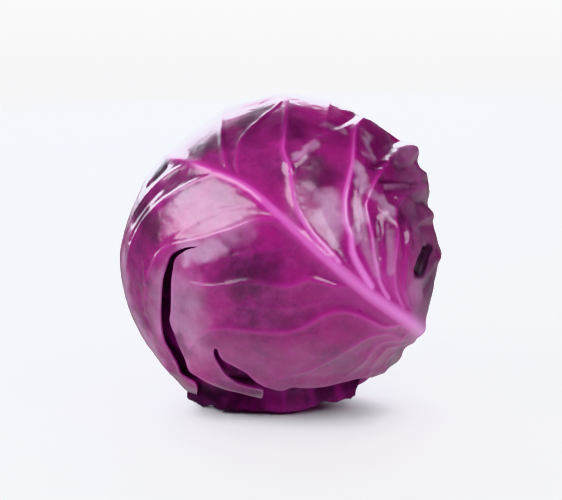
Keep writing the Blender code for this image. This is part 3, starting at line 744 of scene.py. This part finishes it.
def whole_leaf(turn, left, right, waves, seed):
    """A whole leaf around the stem at a turn, with its own width on either side."""
    beta = np.array([h[0] for h in HALF] + [h[0] for h in HALF[-2:0:-1]], float)
    share = np.array([h[1] for h in HALF] + [-h[1] for h in HALF[-2:0:-1]], float)
    wide = np.where(share > 0, left, right) * share
    k = np.arange(len(beta))
    wide = wide + np.where(beta > 25, MARGIN_WAVE * np.sin(waves * k + turn), 0.0)
    beta = beta + np.where(beta > 60, MARGIN_WAVE * np.sin(1.7 * k + 0.5 * turn), 0.0)
    middle = around(np.array([84.0]), np.array([turn + 0.5 * (left - right)]))[0]
    leaf = Leaf(middle, -STEM, around(beta, turn + wide), WHOLE_PITCH)
    run = np.linspace(0.0, 1.0, 9)
    leaf.add_vein(around(13.0 + 130.0 * run, turn + 4.0 * np.sin(3 * run)),
                  MIDRIB_HEIGHT, MIDRIB_WIDTH, 1.0)
    for n in range(SIDE_VEIN_PAIRS):
        start = 16.0 + 11.0 * n
        for side, width in ((1.0, left), (-1.0, right)):
            out = side * width * (0.88 - 0.05 * n) * run ** (0.75 + 0.03 * n)
            leaf.add_vein(around(start + 4.0 * side + (44.0 - 2.0 * n) * run ** 1.3, turn + out),
                          SIDE_HEIGHT, SIDE_WIDTH, 0.8)
    branch_veins(leaf, seed, 9.0, 13.0, 0.25, 0.9, 0.28)
    return leaf


# ragged rim of the under leaf along the bottom, and the recess between it and the front leaf
RIM = [(-44, -71.5), (-37, -74.5), (-25, -75.5), (-10, -76.5), (1, -75.5),
       (11.5, -74), (20, -71.5), (27, -70.5), (35, -68), (41, -63.7), (46, -60)]
RECESS = [(-48, -62), (-38, -68), (-25, -71.5), (-12, -72), (2, -70), (16, -69), (28, -67.5),
          (38, -65)]
RIM_HEIGHT, RECESS_DEPTH = 6.6, 1.4
# where the front leaf lies loose on the next one: depth, reach, line in the front view
LOOSE = [(3.0, 36.0, TEAR_LINE), (3.0, 34.0, HOOK_LINE), (3.5, 40.0, CRUMPLE),
         (5.5, 24.0, RECESS)]


def nowhere(d):
    """0 at each point."""
    return np.zeros(len(d))


def rim_lift(d):
    """Height of the under leaf's ragged rim, with the recess above it."""
    ragged = 1.0 + 0.35 * layered(d, 9.0, 81, 2)
    return (RIM_HEIGHT * near_line(d, RIM, 5.0) * ragged
            - RECESS_DEPTH * near_line(d, RECESS, 5.0))


def painted_gap_shade(d):
    """Painted shade on the under leaf: how dark it is painted behind the tears, in the recess and
    along the bottom rim, where shade falls.
    """
    gaps = np.maximum(near_line(d, RECESS, 8.0), near_line(d, TEAR_LINE, 16.0))
    return np.maximum(gaps, 0.7 * near_line(d, [(-44, -71), (-30, -75), (-16, -76)], 12.0))


def depth_under(d):
    """Depth of the next leaf below the envelope, how far it lies open, and how far the flat
    spot presses it in."""
    loose = np.max([depth * near_line(d, line, reach) for depth, reach, line in LOOSE], axis=0)
    total, clear, first = np.zeros(len(d)), np.ones(len(d)), None
    for leaf in leaves_over:
        cover = leaf.cover(d)
        total = total + (STEP + (loose if leaf is front else 0.0)) * cover
        clear = clear * (1.0 - cover)
        if leaf is front:
            total = first = total + hollow(d) * cover
    down = np.clip(d @ DOWN, 0.05, 1.0)
    press = np.maximum(0.0, envelope(d) - first - CENTRE[2] / down)
    return total, clear, press


def flat_zone(d):
    """1 over the flat spot, falling to 0 around it."""
    from_down = np.degrees(np.arccos(np.clip(d @ DOWN, -1, 1)))
    return 1.0 - smooth((from_down - FLAT_ANGLE) / FLAT_FADE)


def add_whole_leaf(leaf, node, skin, seed, crinkle, droop, shade=1.0, extra=nowhere,
                   painted_shade_of=nowhere):
    """Builds a whole leaf below those over it; its margin droops on to the next leaf."""
    plane, faces = blade_plane(leaf)
    d = leaf.round(plane)
    depth, clear, press = depth_under(d)
    high, light = leaf.vein_relief(d)
    margin = leaf.to_margin(d)
    free = 1.0 - flat_zone(d)
    open_part = clear * free
    fine = crinkle * layered(d, 12.0, seed, 3)
    fall = droop * (1.0 - smooth(margin / 10.0)) * (0.6 + 0.5 * noise(d, 14.0, seed + 9))
    base = envelope(d) - depth - press
    lift = fine * open_part * smooth(margin / 4.0) - fall * free + extra(d)
    bloom = 0.08 + 0.08 * noise(d, 30.0, seed + 4)
    # any painted shade given for this leaf goes into its darkening mask
    piece = blade_piece(node, d, faces, base + lift + high * open_part, base + lift - BLADE,
                        {"rib": light * shade, "bloom": bloom, "deep": painted_shade_of(d),
                         "edge": shade * (1.0 - smooth(margin / EDGE_WIDTH))})
    piece.data.materials.append(skin)
    leaves_over.append(leaf)


under = whole_leaf(290.0, 78.0, 52.0, 2.1, 21)
# its very dark tints are painted shade, and the gap mask adds more painted shade behind the tears
# and in the recess
add_whole_leaf(under, "under_leaf",
               leaf_skin("under_leaf_wax", tint(0.035, 0.004, 0.026), tint(0.08, 0.008, 0.052),
                         VEIN, 0.36, 0.15), 21, 0.5, 0.6, 0.35, rim_lift, painted_gap_shade)

# Top leaf, rear upper leaf and rear lower leaf: the wrapper leaves that follow around the stem
# on the far side. They are like the front leaf but whole, each tucked under the one before.
FAR_LEAF_CRINKLE, FAR_LEAF_DROOP, FAR_LEAF_SHADE = 0.3, 0.6, 0.42
# node, turn around the stem, widths, margin waves, dark and middle tint, shine, seed
for node, turn, left, right, waves, dark, mid, shine, seed in [
        ("top_leaf", 80.0, 70.0, 72.0, 1.9,
         tint(0.075, 0.002, 0.045), tint(0.21, 0.004, 0.11), 0.22, 31),
        ("rear_upper_leaf", 140.0, 72.0, 74.0, 2.3,
         tint(0.08, 0.002, 0.05), tint(0.22, 0.004, 0.115), 0.22, 41),
        ("rear_lower_leaf", 212.0, 72.0, 72.0, 2.0,
         tint(0.06, 0.002, 0.04), tint(0.17, 0.004, 0.095), 0.24, 51)]:
    add_whole_leaf(whole_leaf(turn, left, right, waves, seed), node,
                   leaf_skin(node + "_wax", dark, mid, VEIN, shine), seed,
                   FAR_LEAF_CRINKLE, FAR_LEAF_DROOP, FAR_LEAF_SHADE)

# Inner head: the tight ball of all further leaves. It is one solid, pale purple, and almost
# all of it is hidden.
CORE_GAP = 0.7
NECK_DEPTH = 12.0


def core_depth(d, depth):
    """Depth of the inner head's surface, drawn in where the leaves gather at the stem."""
    neck = NECK_DEPTH * (1.0 - smooth((stem_angle(d) - 14.0) / 22.0))
    return np.maximum(depth + CORE_GAP, neck)


ball = bmesh.new()
bmesh.ops.create_icosphere(ball, subdivisions=6, radius=1.0)
d = unit(np.array([tuple(v.co) for v in ball.verts]))
faces = [[v.index for v in f.verts] for f in ball.faces]
ball.free()
depth, _, press = depth_under(d)
radius = envelope(d) - core_depth(d, depth) - press + 0.3 * np.minimum(0, layered(d, 12.0, 61, 3))
heart = make_piece("inner_head", CENTRE + d * radius[:, None], faces,
                   {"rib": np.zeros(len(d)), "bloom": np.full(len(d), 0.3),
                    "edge": np.zeros(len(d))})
heart.data.materials.append(leaf_skin("inner_head_wax", tint(0.20, 0.03, 0.13),
                                      tint(0.40, 0.08, 0.28), VEIN, 0.35))

# Stem: the short cut stump at the lower right. It is pale, with a fibrous rim and a softer
# middle that has dried a little since the cut.
STEM_RIM = 10.2
STEM_CUT = 1.5
STEM_GAP = 0.45
RINGS, SPOKES = 36, 120
share = np.concatenate([[0.0], np.repeat(np.arange(1, RINGS + 1) / RINGS, SPOKES)])
turn = np.concatenate([[0.0], np.tile(np.arange(SPOKES) * 360.0 / SPOKES, RINGS)])
d = around(STEM_RIM * share, turn)
faces = [(0, 1 + k, 1 + (k + 1) % SPOKES) for k in range(SPOKES)]
for ring in range(RINGS - 1):
    for k in range(SPOKES):
        a = 1 + ring * SPOKES + k
        b = 1 + ring * SPOKES + (k + 1) % SPOKES
        faces += [(a, a + SPOKES, b + SPOKES), (a, b + SPOKES, b)]
depth, _, _ = depth_under(d)
# the cut is flat, dished a little in the middle and rounded at its rim
cut = (envelope(STEM[None])[0] - STEM_CUT) / (d @ STEM)
cut = cut - 0.9 * (1.0 - smooth(share / 0.75)) - 0.6 * smooth((share - 0.9) / 0.1)
cut = cut + 0.12 * layered(d, 3.0, 71, 3)
root = envelope(d) - core_depth(d, depth) + STEM_GAP
stem_piece = blade_piece("stem", d, np.array(faces), cut, root,
                         {"core": 1.0 - smooth((share - 0.35) / 0.25),
                          "bark": smooth((share - 0.86) / 0.1)})
skin = Skin("cut_stem")
fibre = skin.cloud(700.0, 4.0, 0.7)
colour = skin.mix(skin.mask("core"), tint(0.56, 0.49, 0.36), tint(0.70, 0.66, 0.55))
colour = skin.mix(skin.ramp(fibre, (0.35, 0.0), (0.7, 0.6)), colour, tint(0.36, 0.26, 0.17))
colour = skin.mix(skin.mask("bark"), colour, tint(0.45, 0.22, 0.34))
normal = skin.node("ShaderNodeBump", {}, {"Strength": 0.5, "Distance": 0.0006, "Height": fibre})
stem_piece.data.materials.append(skin.finish(Base_Color=colour, Roughness=0.5 + fibre * 0.3,
                                             Normal=normal))

# Floor, lights and camera: a pale studio table with large soft lights, seen from the front and
# a little above with a long lens. Here lengths are metres.
FLOOR_HALF = 12.0
floor_mesh = bpy.data.meshes.new("floor")
floor_mesh.from_pydata([(x * FLOOR_HALF, y * FLOOR_HALF, 0)
                        for x, y in ((-1, -1), (1, -1), (1, 1), (-1, 1))], [], [(0, 1, 2, 3)])
floor = bpy.data.objects.new("floor", floor_mesh)
bpy.context.scene.collection.objects.link(floor)
skin = Skin("pale_table")
floor_mesh.materials.append(skin.finish(
    Base_Color=skin.mix(skin.cloud(30.0, 2.0), tint(0.86, 0.86, 0.87), tint(0.89, 0.89, 0.90)),
    Roughness=0.6 + skin.cloud(60.0, 2.0) * 0.1))

MIDDLE = CENTRE * 0.001


def soft_light(name, toward, distance, size, power, colour=(0.94, 0.95, 1.0)):
    """An area light at a direction given as right, up and towards the viewer."""
    lamp = bpy.data.lights.new(name, "AREA")
    lamp.shape, lamp.size, lamp.size_y, lamp.energy = "RECTANGLE", size[0], size[1], power
    lamp.color = colour
    held = bpy.data.objects.new(name, lamp)
    way = unit(toward[0] * RIGHT + toward[1] * RISE + toward[2] * NEAR)
    held.location = Vector(MIDDLE + distance * way)
    held.rotation_euler = Vector(way).to_track_quat("Z", "Y").to_euler()
    held.visible_camera = False
    bpy.context.scene.collection.objects.link(held)
    return held


soft_light("left_softbox", (-0.80, 0.48, 0.47), 1.0, (1.1, 0.55), 10.0)
soft_light("back_panel", (-0.27, 0.47, -0.84), 1.2, (1.2, 0.78), 17.5, (0.84, 0.90, 1.0))
soft_light("right_softbox", (0.68, 0.42, 0.60), 1.3, (0.75, 0.55), 6.5)
WHITE = (1.0, 1.0, 1.0)
for name, toward, distance, size, power in [
        ("backdrop_light", (0.0, 0.75, -1.0), 3.6, (3.4, 1.6), 130.0),
        ("ceiling", (0.0, math.cos(FRONT_TILT), math.sin(FRONT_TILT)), 3.5, (8.0, 8.0), 225.0),
        ("front_fill", (0.1, 0.15, 1.0), 2.5, (2.4, 1.8), 4.5)]:
    soft_light(name, toward, distance, size, power, WHITE).visible_glossy = False
floor.visible_glossy = False

world = bpy.data.worlds.new("studio")
bpy.context.scene.world = world
world.use_nodes = True
sky = world.node_tree
toward = sky.nodes.new("ShaderNodeTexCoord")
split = sky.nodes.new("ShaderNodeSeparateXYZ")
fade = sky.nodes.new("ShaderNodeMapRange")
sky.links.new(toward.outputs["Generated"], split.inputs["Vector"])
sky.links.new(split.outputs["Z"], fade.inputs["Value"])
for socket, value in (("From Min", -0.7), ("From Max", 0.1), ("To Min", 0.55), ("To Max", 0.06)):
    fade.inputs[socket].default_value = value
sky.links.new(fade.outputs["Result"], sky.nodes["Background"].inputs["Strength"])
sky.nodes["Background"].inputs["Color"].default_value = (1.0, 0.98, 1.0, 1.0)
bpy.context.scene.view_settings.view_transform = "Khronos PBR Neutral"

CAMERA_DISTANCE = 1.3
CAMERA_SHIFT = 0.0005
WIDE_PIXELS, MM_A_PIXEL = 562, 0.5
camera_data = bpy.data.cameras.new("camera")
camera_data.lens = camera_data.sensor_width * CAMERA_DISTANCE / (WIDE_PIXELS * MM_A_PIXEL * 0.001)
camera = bpy.data.objects.new("camera", camera_data)
camera.location = Vector(MIDDLE + CAMERA_SHIFT * RIGHT + CAMERA_DISTANCE * NEAR)
camera.rotation_euler = Vector(NEAR).to_track_quat("Z", "Y").to_euler()
bpy.context.scene.collection.objects.link(camera)
bpy.context.scene.camera = camera
